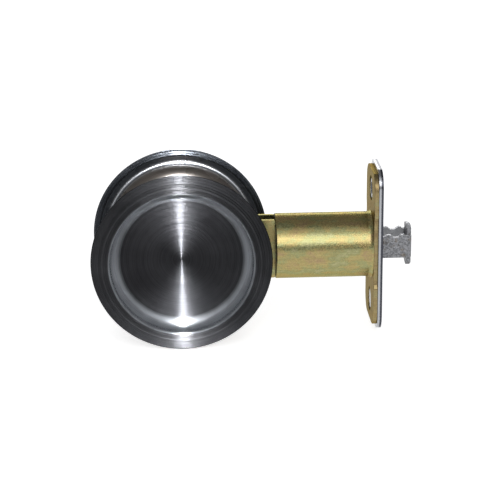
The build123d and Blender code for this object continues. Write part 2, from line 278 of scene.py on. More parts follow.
def carve(piece, tool, operation="DIFFERENCE"):
    """Applies one Boolean of the tool to the piece, and deletes the tool."""
    make_active(piece)
    cut = piece.modifiers.new("cut", "BOOLEAN")
    cut.operation = operation
    cut.object = tool
    bpy.ops.object.modifier_apply(modifier=cut.name)
    bpy.data.objects.remove(tool)


def drill(piece, radius, centre, axis, length):
    """Cuts a round hole."""
    deselect()
    turned = {"X": (0, math.pi / 2, 0), "Y": (math.pi / 2, 0, 0)}[axis]
    bpy.ops.mesh.primitive_cylinder_add(vertices=DRILL_SIDES, radius=radius * MM, depth=length * MM,
                                        location=Vector(centre) * MM, rotation=turned)
    carve(piece, bpy.context.object)


def box_tool(low, high):
    """A block to cut with, given by two corners in millimetres."""
    deselect()
    low, high = Vector(low) * MM, Vector(high) * MM
    bpy.ops.mesh.primitive_cube_add(size=1.0, location=(low + high) / 2, scale=high - low)
    return bpy.context.object


# %% Soften and copy
def soften(piece, width, segments=2, angle=40):
    """Rounds every sharp edge a little, as tumbling and plating do, and shades it smooth."""
    make_active(piece)
    bevel = piece.modifiers.new("soften", "BEVEL")
    bevel.width = width * MM
    bevel.segments = segments
    bevel.limit_method = "ANGLE"
    bevel.angle_limit = math.radians(angle)
    bpy.ops.object.modifier_apply(modifier=bevel.name)
    bpy.ops.object.mode_set(mode="EDIT")
    close_up(piece)
    print(piece.name, "has", len(piece.data.polygons), "faces")


def copy_of(piece, name, shift):
    """A copy with its own mesh, which is moved by a shift in millimetres."""
    make_active(piece)
    bpy.ops.object.duplicate(linked=False)
    twin = bpy.context.object
    twin.name = twin.data.name = name
    bpy.ops.object.mode_set(mode="EDIT")
    bpy.ops.mesh.select_all(action="SELECT")
    bpy.ops.transform.translate(value=Vector(shift) * MM)
    bpy.ops.object.mode_set(mode="OBJECT")
    print(name, "is a copy of", piece.name)
    return twin


# %% Screw
POST_HEIGHT = middle("upper_post", "Z")
SCREW_TIP, SCREW_TOP = span("upper_screw", "Y")
SCREW_HEAD_RADIUS = span("upper_screw", "X")[1]
SHANK_RADIUS = 2.0
CROSS_SPAN = 3.6
CROSS_WIDTH = 0.9
CROSS_DEEP = 1.1
SCREW_SOFTNESS = 0.1
screw_section = [
    (SCREW_TOP, 0),
    (SCREW_TOP, SCREW_HEAD_RADIUS, 1.2, 6),
    (FLOOR_DEPTH, SCREW_HEAD_RADIUS, 0.12, 2),
    (FLOOR_DEPTH, SHANK_RADIUS),
    (SCREW_TIP, SHANK_RADIUS, 0.4, 2),
    (SCREW_TIP, 0),
]


def pan_screw(name, height):
    """Turns a screw and cuts the cross recess into its head."""
    screw = lathe(name, screw_section, "Y", (0, 0, height))
    for wide, tall in ((CROSS_SPAN, CROSS_WIDTH), (CROSS_WIDTH, CROSS_SPAN)):
        slot_low = (-wide / 2, SCREW_TOP - CROSS_DEEP, height - tall / 2)
        slot_high = (wide / 2, SCREW_TOP + TOOL_CLEAR, height + tall / 2)
        carve(screw, box_tool(slot_low, slot_high))
    soften(screw, SCREW_SOFTNESS)
    return screw


upper_screw = pan_screw("upper_screw_turned", POST_HEIGHT)

# %% Post
POST_FOOT, POST_END = span("upper_post", "Y")
POST_FLANGE = 1.0
POST_FLANGE_RADIUS = span("upper_post", "X")[1]
POST_RADIUS = 3.0
POST_BORE = 2.03
POST_BORE_END = -2.2
post_section = [
    (POST_FOOT, 0),
    (POST_FOOT, POST_FLANGE_RADIUS, 0.1, 2),
    (POST_FOOT + POST_FLANGE, POST_FLANGE_RADIUS, 0.2, 2),
    (POST_FOOT + POST_FLANGE, POST_RADIUS, 0.4, 4),
    (POST_END, POST_RADIUS, 0.3, 3),
    (POST_END, POST_BORE, 0.2, 2),
    (POST_BORE_END, POST_BORE),
    (POST_BORE_END, 0),
]
upper_post = lathe("upper_post_turned", post_section, "Y", (0, 0, POST_HEIGHT))

# %% Both screws and both posts
screws = [upper_screw, pan_screw("lower_screw_turned", -POST_HEIGHT)]
posts = [upper_post, copy_of(upper_post, "lower_post_turned", (0, 0, -2 * POST_HEIGHT))]
for word, screw, post in zip(("upper", "lower"), screws, posts):
    stands_for(screw, word + "_screw")
    stands_for(post, word + "_post")

# %% Screw holes of the far cup
SCREW_HOLE = 2.25
for height in (POST_HEIGHT, -POST_HEIGHT):
    drill(far_cup, SCREW_HOLE, (0, FLOOR_DEPTH, height), "Y", length=8)
make_active(far_cup)
bpy.ops.object.shade_smooth_by_angle(angle=SMOOTH_ANGLE)
stands_for(far_cup, "inside_cup")

# %% [markdown]
# ## Tube
# The tube of the latch slides into a hole in the door's edge. Its front end is flared where it was
# pressed against the backing plate, and its other end is cut square with a broken edge. It could
# be a cylinder with a bevel, but the flare is an arc, so its section is drawn and turned as well.

# %% Tube
TUBE_REAR, PLATE_BACK = span("latch_tube", "X")
FLARE_LENGTH = 1.6
FLARE_RISE = 0.5
FLARE_POINTS = 6
TUBE_RADIUS = span("latch_tube", "Y")[1] - FLARE_RISE
TUBE_WALL = 1.0
TUBE_BORE = TUBE_RADIUS - TUBE_WALL
TUBE_STEPS = 128
flare_bend = (FLARE_LENGTH ** 2 + FLARE_RISE ** 2) / (2 * FLARE_RISE)
tube_section = [
    (PLATE_BACK, TUBE_BORE),
    (TUBE_REAR, TUBE_BORE, 0.3, 3),
    (TUBE_REAR, TUBE_RADIUS, 0.3, 4),
]
for step in range(FLARE_POINTS + 1):
    run = FLARE_LENGTH * step / FLARE_POINTS
    rise = flare_bend - math.sqrt(flare_bend ** 2 - run ** 2)
    tube_section.append((PLATE_BACK - FLARE_LENGTH + run, TUBE_RADIUS + rise))
tube_section.append((PLATE_BACK, TUBE_BORE))
tube = lathe("latch_tube_turned", tube_section, "X", steps=TUBE_STEPS)
stands_for(tube, "latch_tube")

# %% [markdown]
# ## Plates
# The faceplate, the backing plate and the two tail plates are punched from sheet. Each starts as a
# flat outline with rounded corners, which is filled and extruded to the thickness of the sheet.
# Holes are cut afterwards, and then every edge is softened, so that it catches a line of light.


# %% Sheet from an outline
def sheet(name, corners, thickness):
    """Fills a closed outline and extrudes it. A corner is (place,) or (place, reach, segments)."""
    places = [Vector(corner[0]) for corner in corners]
    piece = chain(name, places)
    pick(piece, lambda p: min((p - places[0]).length, (p - places[-1]).length) < SAME_PLACE)
    bpy.ops.mesh.edge_face_add()
    for place, corner in zip(places, corners):
        if len(corner) > 1:
            round_corner(piece, place, *corner[1:])
    bpy.ops.mesh.select_all(action="SELECT")
    bpy.ops.mesh.edge_face_add()
    bpy.ops.mesh.select_all(action="SELECT")
    bpy.ops.mesh.extrude_region_move(TRANSFORM_OT_translate={"value": Vector(thickness) * MM})
    close_up(piece)
    return piece


# %% [markdown]
# ## Faceplate
# The faceplate closes the door's edge. Each of its two screw holes was pressed into a dimple, so
# that a countersunk head lies flush. A turned dimple is joined to the back of the plate, a turned
# cone is cut out of its front, and a window is cut for the pull.

# %% Faceplate
PLATE_JOINT = span("backing_plate", "X")[1]
DIMPLE_END, FACE = span("faceplate", "X")
PLATE_HALF_WIDTH = span("faceplate", "Y")[1]
PLATE_HALF_HEIGHT = span("faceplate", "Z")[1]
PLATE_CORNER = (6.35, 12)
PLATE_SOFTNESS = 0.3
HOLE_HEIGHT = 20.5
HOLE_RADIUS = 2.2
DIMPLE_RADIUS = 4.1
DIMPLE_TAPER = 0.6
DIMPLE_ROOT = 0.2
DIMPLE_ROOT_FLARE = 0.1
WINDOW_HALF = 5.9
WINDOW_LOW = -3.9
WINDOW_HIGH = 5.0
FOUR_CORNERS = ((-1, -1), (1, -1), (1, 1), (-1, 1))
plate_corners = []
for side, end in FOUR_CORNERS:
    place = (PLATE_JOINT, side * PLATE_HALF_WIDTH, end * PLATE_HALF_HEIGHT)
    plate_corners.append((place, *PLATE_CORNER))
faceplate = sheet("faceplate_pressed", plate_corners, (FACE - PLATE_JOINT, 0, 0))
dimple_section = [
    (PLATE_JOINT + DIMPLE_ROOT, 0),
    (PLATE_JOINT + DIMPLE_ROOT, DIMPLE_RADIUS + DIMPLE_ROOT_FLARE),
    (DIMPLE_END, DIMPLE_RADIUS - DIMPLE_TAPER, 0.3, 3),
    (DIMPLE_END, 0),
]
countersink_section = [
    (FACE + TOOL_CLEAR, 0),
    (FACE + TOOL_CLEAR, DIMPLE_RADIUS + TOOL_CLEAR),
    (FACE - DIMPLE_RADIUS + HOLE_RADIUS, HOLE_RADIUS),
    (DIMPLE_END - TOOL_CLEAR, HOLE_RADIUS),
    (DIMPLE_END - TOOL_CLEAR, 0),
]
for height in (HOLE_HEIGHT, -HOLE_HEIGHT):
    carve(faceplate, lathe("dimple", dimple_section, "X", (0, 0, height)), "UNION")
for height in (HOLE_HEIGHT, -HOLE_HEIGHT):
    carve(faceplate, lathe("countersink", countersink_section, "X", (0, 0, height)))
carve(faceplate, box_tool((DIMPLE_END - TOOL_CLEAR, -WINDOW_HALF, WINDOW_LOW),
                          (FACE + TOOL_CLEAR, WINDOW_HALF, WINDOW_HIGH)))
soften(faceplate, PLATE_SOFTNESS, 3)
stands_for(faceplate, "faceplate")

# %% [markdown]
# ## Backing plate
# The tube is fixed to a second plate, a little smaller, that lies behind the faceplate and lets
# its dimples through. It is narrower at the height of the tube, so its outline has twelve corners:
# the same three, in turn, at each of its four ends.

# %% Backing plate
BACKING_HALF_WIDTH = span("backing_plate", "Y")[1]
BACKING_HALF_HEIGHT = span("backing_plate", "Z")[1]
BACKING_CORNER = (6.0, 12)
BACKING_SOFTNESS = 0.35
WAIST_CORNER = (0.3, 2)
WAIST_HALF_WIDTH = 11.55
WAIST_HALF_HEIGHT = 11.5
WAIST_SLOPE = 1.4
DIMPLE_GAP = 0.25
WINDOW_GAP = 0.2
backing_corners = []
for side, end in FOUR_CORNERS:
    edge = side * BACKING_HALF_WIDTH
    slope_height = end * (WAIST_HALF_HEIGHT + WAIST_SLOPE)
    corner = ((PLATE_BACK, edge, end * BACKING_HALF_HEIGHT), *BACKING_CORNER)
    slope = ((PLATE_BACK, edge, slope_height), *WAIST_CORNER)
    waist = ((PLATE_BACK, side * WAIST_HALF_WIDTH, end * WAIST_HALF_HEIGHT), *WAIST_CORNER)
    backing_corners += [waist, slope, corner] if side == end else [corner, slope, waist]
backing = sheet("backing_plate_punched", backing_corners, (PLATE_JOINT - PLATE_BACK, 0, 0))
for height in (HOLE_HEIGHT, -HOLE_HEIGHT):
    drill(backing, DIMPLE_RADIUS + DIMPLE_GAP, (PLATE_BACK, 0, height), "X", length=10)
carve(backing, box_tool((PLATE_BACK - TOOL_CLEAR, -WINDOW_HALF - WINDOW_GAP, WINDOW_LOW - WINDOW_GAP),
                        (FACE + TOOL_CLEAR, WINDOW_HALF + WINDOW_GAP, WINDOW_HIGH + WINDOW_GAP)))
soften(backing, BACKING_SOFTNESS, 3)
stands_for(backing, "backing_plate")

# %% [markdown]
# ## Tail plates
# Two equal plates leave the rear of the tube and reach between the cups. Their narrow tongues run
# forward through the tube and guide the cross pin of the pull in a slot. The near plate is punched
# and drilled, a slot being two round holes with a block between them, and the far plate is a copy.

# %% Tail plates
TAIL_END, TONGUE_TIP = span("tail_plate_outside", "X")
TAIL_OUTER, TAIL_INNER = span("tail_plate_outside", "Y")
TAIL_HALF = span("tail_plate_outside", "Z")[1]
TAIL_CORNER = (6.0, 10)
TAIL_SHOULDER = (0.5, 3)
TAIL_SOFTNESS = 0.35
TONGUE_HALF = 7.5
TONGUE_STEP = span("front_guide", "X")[0]
TONGUE_TOP = 4.65
HUB_RADIUS = 4.5
SPACER_RADIUS = 2.2
SPACER_PLACE = span("upper_spacer", "X")[1] - SPACER_RADIUS
SPACER_HEIGHT = middle("upper_spacer", "Z")
SPACER_HOLE = 1.33
GUIDE_PIN_HOLE = 1.03
SLOT_ENDS = (46.5, 55.75)
SLOT_HALF = 1.7
tail_outline = [
    (TAIL_END, -TAIL_HALF, *TAIL_CORNER),
    (TUBE_REAR, -TAIL_HALF, *TAIL_SHOULDER),
    (TUBE_REAR, -TONGUE_HALF),
    (TONGUE_TIP, -TONGUE_HALF),
    (TONGUE_TIP, TONGUE_TOP),
    (TONGUE_STEP, TONGUE_TOP),
    (TONGUE_STEP, TONGUE_HALF),
    (TUBE_REAR, TONGUE_HALF),
    (TUBE_REAR, TAIL_HALF, *TAIL_SHOULDER),
    (TAIL_END, TAIL_HALF, *TAIL_CORNER),
]
tail_corners = [((x, TAIL_OUTER, z), *rounding) for x, z, *rounding in tail_outline]
tail_holes = [
    (HUB_RADIUS, 0, 0),
    (SPACER_HOLE, SPACER_PLACE, SPACER_HEIGHT),
    (SPACER_HOLE, SPACER_PLACE, -SPACER_HEIGHT),
    (GUIDE_PIN_HOLE, middle("guide_pin", "X"), middle("guide_pin", "Z")),
    (SLOT_HALF, SLOT_ENDS[0], 0),
    (SLOT_HALF, SLOT_ENDS[1], 0),
]
near_tail = sheet("tail_plate_outside_punched", tail_corners, (0, TAIL_INNER - TAIL_OUTER, 0))
for radius, x, z in tail_holes:
    drill(near_tail, radius, (x, TAIL_OUTER, z), "Y", length=6)
carve(near_tail, box_tool((SLOT_ENDS[0], TAIL_OUTER - TOOL_CLEAR, -SLOT_HALF),
                          (SLOT_ENDS[1], TAIL_INNER + TOOL_CLEAR, SLOT_HALF)))
soften(near_tail, TAIL_SOFTNESS, 3)
to_far_side = (0, span("tail_plate_inside", "Y")[0] - TAIL_OUTER, 0)
far_tail = copy_of(near_tail, "tail_plate_inside_punched", to_far_side)
stands_for(near_tail, "tail_plate_outside")
stands_for(far_tail, "tail_plate_inside")

# %% [markdown]
# ## Spacers
# Two shouldered rivets hold the tail plates apart. Their heads were closed with a domed punch.
# Both ends are alike, so half of the section is written down and the other half is its mirror.

# %% Spacers
SPACER_TOP = span("upper_spacer", "Y")[1]
SPACER_HEAD_RADIUS = 2.1
SPACER_NECK_RADIUS = 1.3
half_spacer = [
    (SPACER_TOP, 0),
    (SPACER_TOP, SPACER_HEAD_RADIUS, 0.5, 5),
    (-TAIL_OUTER, SPACER_HEAD_RADIUS),
    (-TAIL_OUTER, SPACER_NECK_RADIUS),
    (-TAIL_INNER, SPACER_NECK_RADIUS),
    (-TAIL_INNER, SPACER_RADIUS, 0.1, 2),
]
spacer_section = half_spacer + [(-along, *rest) for along, *rest in reversed(half_spacer)]
spacer_centre = (SPACER_PLACE, 0, SPACER_HEIGHT)
upper_spacer = lathe("upper_spacer_turned", spacer_section, "Y", spacer_centre)
spacers = [upper_spacer, copy_of(upper_spacer, "lower_spacer_turned", (0, 0, -2 * SPACER_HEIGHT))]
for spacer, node in zip(spacers, ("upper_spacer", "lower_spacer")):
    stands_for(spacer, node)

# %% [markdown]
# ## Edge pull
# The pull is a strip folded into a U: two walls with a detent notch in their upper edges, and a
# rounded head between them that a fingertip can catch. The U is drawn from above and extruded,
# the outline of the walls is drawn from the side, and what both have in common is kept.

# %% Fold of the pull
PULL_REAR, PULL_TIP = span("pull_bolt", "X")
PULL_HALF = span("pull_bolt", "Y")[1]
PULL_SHEET = 1.6
HEAD_RADIUS = 7.6
FOLD_OUTER = (2.0, 8)
FOLD_INNER = (0.4, 4)
PULL_INNER = PULL_HALF - PULL_SHEET
HEAD_BACK = PULL_TIP - PULL_SHEET
fold_outline = [
    (PULL_REAR, -PULL_HALF),
    (PULL_TIP, -PULL_HALF, *FOLD_OUTER),
    (PULL_TIP, PULL_HALF, *FOLD_OUTER),
    (PULL_REAR, PULL_HALF),
    (PULL_REAR, PULL_INNER),
    (HEAD_BACK, PULL_INNER, *FOLD_INNER),
    (HEAD_BACK, -PULL_INNER, *FOLD_INNER),
    (PULL_REAR, -PULL_INNER),
]
fold_corners = [((x, y, -HEAD_RADIUS), *rounding) for x, y, *rounding in fold_outline]
pull = sheet("pull_bolt_folded", fold_corners, (0, 0, 2 * HEAD_RADIUS))
print("the strip is folded over", 2 * PULL_HALF, "mm")

# %% Walls of the pull
PULL_TOP = 4.65
PULL_BOTTOM = -3.7
RELIEF_TOP = 4.1
NOTCH_FLOOR = 3.7
SHELF_TOP = 3.8
RELIEF_END = PULL_TIP - 2.5
NOTCH_FRONT = PULL_TIP - 4.0
NOTCH_REAR = PULL_TIP - 7.5
NOTCH_SLANT = 0.8
RAMP_TOP = PULL_TIP - 8.5
RAMP_FOOT = PULL_TIP - 10.5
wall_outline = [
    (PULL_REAR, PULL_BOTTOM),
    (PULL_TIP + TOOL_CLEAR, PULL_BOTTOM),
    (PULL_TIP + TOOL_CLEAR, RELIEF_TOP),
    (RELIEF_END, RELIEF_TOP, 0.25, 3),
    (RELIEF_END, PULL_TOP, 0.25, 3),
    (NOTCH_FRONT, PULL_TOP, 0.5, 4),
    (NOTCH_FRONT - NOTCH_SLANT, NOTCH_FLOOR, 0.5, 4),
    (NOTCH_REAR + NOTCH_SLANT, NOTCH_FLOOR, 0.5, 4),
    (NOTCH_REAR, PULL_TOP, 0.45, 4),
    (RAMP_TOP, PULL_TOP, 0.45, 4),
    (RAMP_FOOT, SHELF_TOP, 0.6, 4),
    (PULL_REAR, SHELF_TOP),
]
beside = -PULL_HALF - TOOL_CLEAR
wall_corners = [((x, beside, z), *rounding) for x, z, *rounding in wall_outline]
carve(pull, sheet("walls", wall_corners, (0, -2 * beside, 0)), "INTERSECT")
print("the walls are", round(PULL_TOP - PULL_BOTTOM, 2), "mm high")

# %% Head of the pull
HEAD_HALF = 3.7
HEAD_ARC_STEPS = 10
HEAD_ROUND = 0.8
STOP_PIN_HOLE = 1.53
PULL_SOFTNESS = 0.22
PULL_SOFT_ANGLE = 30
head_turn = math.asin(HEAD_HALF / HEAD_RADIUS)
head_corners = []
for end in (1, -1):
    for step in range(HEAD_ARC_STEPS + 1):
        turn = end * head_turn * (1 - 2 * step / HEAD_ARC_STEPS)
        place = (HEAD_BACK, HEAD_RADIUS * math.sin(turn), end * HEAD_RADIUS * math.cos(turn))
        head_corners.append((place,))
head = sheet("head", head_corners, (PULL_SHEET, 0, 0))
lug_height = HEAD_RADIUS * math.cos(head_turn) - SAME_PLACE
bpy.ops.object.mode_set(mode="EDIT")
pick(head, lambda p: p.x > PULL_TIP - SAME_PLACE and abs(p.z) > lug_height)
bpy.ops.mesh.bevel(offset=HEAD_ROUND * MM, segments=4, affect="EDGES")
close_up(head)
carve(pull, head, "UNION")
drill(pull, STOP_PIN_HOLE, (middle("stop_pin", "X"), 0, 0), "Y", length=30)
soften(pull, PULL_SOFTNESS, 3, PULL_SOFT_ANGLE)
stands_for(pull, "pull_bolt", "edge_pull")

# %% [markdown]
# ## Shader maths
# A finish is a small calculation that runs at every point of a surface. Linking Math nodes one by
# one hides that calculation, so a socket is wrapped in a class whose operators add the nodes.
# Any other node comes from one method: its type, then its settings, then what goes in.


# %% Sockets that calculate
class Flow:
    """What flows out of one socket. Arithmetic on it adds Math nodes."""

    def __init__(self, finish, socket):
        self.finish = finish
        self.socket = socket

    def __add__(self, other):
        return self.finish.maths("ADD", self, other)

    def __radd__(self, other):
        return self.finish.maths("ADD", other, self)

    def __sub__(self, other):
        return self.finish.maths("SUBTRACT", self, other)

    def __rsub__(self, other):
        return self.finish.maths("SUBTRACT", other, self)

    def __mul__(self, other):
        return self.finish.maths("MULTIPLY", self, other)

    def __rmul__(self, other):
        return self.finish.maths("MULTIPLY", other, self)

    def __truediv__(self, other):
        return self.finish.maths("DIVIDE", self, other)

    def __rtruediv__(self, other):
        return self.finish.maths("DIVIDE", other, self)

    def __pow__(self, other):
        return self.finish.maths("POWER", self, other)

    def __rpow__(self, other):
        return self.finish.maths("POWER", other, self)

    def __abs__(self):
        return self.finish.maths("ABSOLUTE", self)


# %% A material under construction
MOST_OF_A_NOISE = (0.3, 0.7)


def fill_ramp(elements, stops):
    for index, (place, colour) in enumerate(stops):
        stop = elements[index] if index < len(elements) else elements.new(place)
        stop.position = place
        stop.color = (*colour, 1.0)


class Finish:
    """A material under construction, in millimetres. A colour to blend has three numbers."""

    def __init__(self, name):
        self.material = bpy.data.materials.new(name)
        self.material.use_nodes = True
        self.tree = self.material.node_tree
        self.tree.nodes.clear()

    def node(self, kind, settings=None, inputs=None, output=0):
        """Adds one node: its settings are set first, then its sockets get values or links."""
        made = self.tree.nodes.new(kind)
        for name, value in (settings or {}).items():
            if name == "stops":
                fill_ramp(made.color_ramp.elements, value)
            else:
                setattr(made, name, value)
        for name, value in (inputs or {}).items():
            if isinstance(value, Flow):
                self.tree.links.new(value.socket, made.inputs[name])
            else:
                made.inputs[name].default_value = value
        return Flow(self, made.outputs[output]) if made.outputs else None

    def maths(self, operation, *values):
        return self.node("ShaderNodeMath", {"operation": operation}, dict(enumerate(values)))

    def vector(self, operation, *values):
        return self.node("ShaderNodeVectorMath", {"operation": operation}, dict(enumerate(values)))

    def unit(self, vector):
        return self.vector("NORMALIZE", vector)

    def scaled(self, vector, by):
        """A vector or a colour times a number."""
        return self.node("ShaderNodeVectorMath", {"operation": "SCALE"}, {0: vector, "Scale": by})

    def dot(self, one, other):
        return self.node("ShaderNodeVectorMath", {"operation": "DOT_PRODUCT"}, {0: one, 1: other}, output=1)

    def axis(self, vector, index):
        """The X, Y or Z of a vector: index 0, 1 or 2."""
        return self.node("ShaderNodeSeparateXYZ", {}, {"Vector": vector}, output=index)

    def normal(self):
        return self.node("ShaderNodeNewGeometry", output=1)

    def place(self, stretch=(1, 1, 1)):
        """Object coordinates in millimetres. A stretch over 1 makes a pattern finer that way."""
        coords = self.node("ShaderNodeTexCoord", output=3)
        scale = [share / MM for share in stretch]
        return self.node("ShaderNodeMapping", {"vector_type": "POINT"}, {"Vector": coords, "Scale": scale})

    def noise(self, at, scale, detail=3.0, roughness=0.5):
        inputs = {"Vector": at, "Scale": scale, "Detail": detail, "Roughness": roughness}
        return self.node("ShaderNodeTexNoise", {"noise_dimensions": "3D"}, inputs)

    def rings(self, along, scale, detail):
        """Noise along one length, the same all the way round."""
        inputs = {"W": along, "Scale": scale, "Detail": detail}
        return self.node("ShaderNodeTexNoise", {"noise_dimensions": "1D"}, inputs)

    def fade(self, value, low, high, start=0.0, end=1.0):
        """From start, where the value is low or less, softly to end, where it is high or more."""
        inputs = {"Value": value, "From Min": low, "From Max": high, "To Min": start, "To Max": end}
        return self.node("ShaderNodeMapRange", {"interpolation_type": "SMOOTHSTEP"}, inputs)

    def vary(self, noise, start, end):
        """A noise, which keeps near its middle, spread out from start to end."""
        return self.fade(noise, *MOST_OF_A_NOISE, start, end)

    def blend(self, share, one, other):
        """One colour where the share is 0, the other where it is 1."""
        colours = [c if isinstance(c, Flow) else (*c, 1.0) for c in (one, other)]
        inputs = {0: share, 6: colours[0], 7: colours[1]}
        return self.node("ShaderNodeMix", {"data_type": "RGBA"}, inputs, output=2)

    def bump(self, height, strength, distance):
        inputs = {"Height": height, "Strength": strength, "Distance": distance * MM}
        return self.node("ShaderNodeBump", {}, inputs)

    def principled(self, **sockets):
        names = {key.replace("_", " "): value for key, value in sockets.items()}
        return self.node("ShaderNodeBsdfPrincipled", {"distribution": "MULTI_GGX"}, names)

    def close(self, shader):
        """Ends the material in a shader, and returns the material."""
        self.node("ShaderNodeOutputMaterial", {}, {"Surface": shader})
        print(self.material.name, "has", len(self.tree.nodes), "nodes")
        return self.material


# %% [markdown]
# ## Spun finish
# The tool that smooths a spinning cup leaves fine grooves that run round it. Across a groove the
# surface tilts to and fro, along it it doesn't, so a lamp is drawn out into two bright wedges that
# meet at the middle. The finish tilts the normal of the surface along the radius, to and fro many
# times a millimetre; a plain rough metal would show a round, dull spot instead.
#
# One material serves the whole cup, so it has to tell its zones apart, by the radius and by where
# the surface faces. The floor and the ring are dark. The wall of the recess gets a lighter tone,
# which is a painted reflection. On the back, the wall gets a brownish tone, which is a painted
# reflection too, and the heel under the lip gets a lighter tone that paints its highlight brighter.
# The seat, which lies on the door, is dark with a few grooves.

# %% Zones of a cup
CUP_AXIS = (0.0, 1.0, 0.0)
ROUND_THE_AXIS = (1.0, 0.0, 1.0)
# Each pair is the radii between which a zone comes in, or goes out.
RECESS_WALL_IN = (20.9, 24.2)
RING_IN = (24.9, 25.4)
HEEL_IN = (WALL_RADIUS - 0.05, WALL_RADIUS + 0.25)
HEEL_OUT = (WALL_RADIUS + 1.15, WALL_RADIUS + 1.65)
SEAT_IN = (SEAT_RADIUS - 0.15, SEAT_RADIUS + 0.05)
TURNING_EDGE = 0.1


class CupZones:
    """Where a point of a cup lies. Each zone is a share from 0 to 1."""

    def __init__(self, finish):
        self.at = finish.place()
        x, y, z = (finish.axis(self.at, index) for index in range(3))
        self.radius = (x * x + z * z) ** 0.5
        self.run = self.radius + abs(y)
        self.normal = finish.normal()
        spoke = finish.unit(finish.vector("MULTIPLY", self.at, ROUND_THE_AXIS))
        outward = finish.dot(self.normal, CUP_AXIS) * finish.maths("SIGN", y)
        inward = outward - finish.dot(self.normal, spoke)
        self.front = finish.fade(inward, -TURNING_EDGE, TURNING_EDGE)
        self.ring = finish.fade(self.radius, *RING_IN)
        self.recess_wall = finish.fade(self.radius, *RECESS_WALL_IN) * (1 - self.ring)
        self.heel = finish.fade(self.radius, *HEEL_IN) * (1 - finish.fade(self.radius, *HEEL_OUT))
        self.seat = finish.fade(self.radius, *SEAT_IN) * (1 - self.front)


# The heel's lighter tone is a painted highlight.
print("a cup's heel is rubbed up to a radius of", round(HEEL_OUT[1], 2), "mm")

# %% Grooves
GROOVE = 0.13
GROOVE_DRIFT = 1.7
# A noise along the run is its scale and its detail.
DRIFT_NOISE = (3.1, 4.0)
CUT_NOISE = (15.0, 2.0)
CUT_NOISE_SPAN = (0.25, 0.75)
FLOOR_SLOPE = 0.5
RING_SLOPE = 1.0
SLOPE_CHANGE = (24.4, 25.6)
CUT_DEPTHS = (0.6, 1.15)
SEAT_CUTS_OUT = (ROSE_RADIUS - 0.95, ROSE_RADIUS - 0.45)
SEAT_CUTS = (0.4, 0.6)
BACK_SLOPE_SHARE = 0.05


def grooved(finish, cup, bands):
    """The normal of a cup, tilted to and fro along the radius."""
    drift = finish.rings(cup.run, *DRIFT_NOISE)
    wave = finish.maths("SINE", (cup.run / GROOVE + drift * GROOVE_DRIFT) * (2 * math.pi))
    cut_depth = finish.fade(finish.rings(cup.run, *CUT_NOISE), *CUT_NOISE_SPAN, *CUT_DEPTHS)
    slope = wave * cut_depth * finish.fade(cup.radius, *SLOPE_CHANGE, FLOOR_SLOPE, RING_SLOPE)
    seat_cuts = cup.seat * (1 - finish.fade(cup.radius, *SEAT_CUTS_OUT)) * finish.fade(bands, *SEAT_CUTS)
    slope = slope * finish.fade(cup.front + seat_cuts, 0.0, 1.0, BACK_SLOPE_SHARE, 1.0)
    round_way = finish.unit(finish.vector("CROSS_PRODUCT", CUP_AXIS, cup.at))
    across = finish.vector("CROSS_PRODUCT", cup.normal, round_way)
    return finish.unit(finish.vector("ADD", cup.normal, finish.scaled(across, slope)))


print("grooves lie", GROOVE, "mm apart")

# %% [markdown]
# The colours of the zones are blended one over the other. Two shaders are mixed: a tight gloss
# gives the wedge its bright core, and a wider one the soft skirt beside it. The wall of the recess
# and the rest of the back count only in part as metal, so that the lamps light their painted tones.

# %% Dark satin finish
FLOOR_TONE = (0.013, 0.0133, 0.0145)
RING_TONE = (0.02, 0.0204, 0.022)
# Painted reflection: the lighter tone of the wall of the recess.
RECESS_REFLECTION_TONE = (0.25, 0.266, 0.287)
# Painted reflection: the brownish tone of the back wall.
BACK_WALL_REFLECTION_TONE = (0.11, 0.097, 0.085)
BACK_TONE = (0.046, 0.051, 0.058)
# Painted highlight: the lighter tone of the heel.
HEEL_HIGHLIGHT_TONE = (0.2, 0.207, 0.22)
SEAT_TONE = (0.03, 0.033, 0.038)
EDGE_TINT = (0.5, 0.5, 0.52, 1.0)
BAND_NOISE = (2.1, 4.0)
BAND_TONES = (0.82, 1.18)
CLOUD_SCALE = 0.12
CLOUD_TONES = (0.94, 1.06)
BACK_WALL_OUT = (WALL_RADIUS + 0.03, WALL_RADIUS + 0.15)
# How much of the recess wall and of the rest of the back is not metal, so that the lamps light their painted
# tones.
NON_METAL_SHARE = 0.7
TIGHT_GLOSS = (0.125, 0.15)
WIDE_GLOSS = (0.31, 0.36)
WIDE_SHARE = 0.5
BACK_ROUGHER = 0.14
SEAT_SMOOTHER = 0.4


def cup_colour(finish, cup):
    face = finish.blend(cup.ring, FLOOR_TONE, RING_TONE)
    # Painted reflection: the wall of the recess gets a lighter tone.
    face = finish.blend(cup.recess_wall, face, RECESS_REFLECTION_TONE)
    # Painted reflection: the back wall gets a brownish tone.
    back = finish.blend(finish.fade(cup.radius, *BACK_WALL_OUT), BACK_WALL_REFLECTION_TONE, BACK_TONE)
    # Painted highlight: the heel gets a lighter tone.
    back = finish.blend(cup.heel, back, HEEL_HIGHLIGHT_TONE)
    back = finish.blend(cup.seat, back, SEAT_TONE)
    return finish.blend(cup.front, back, face)


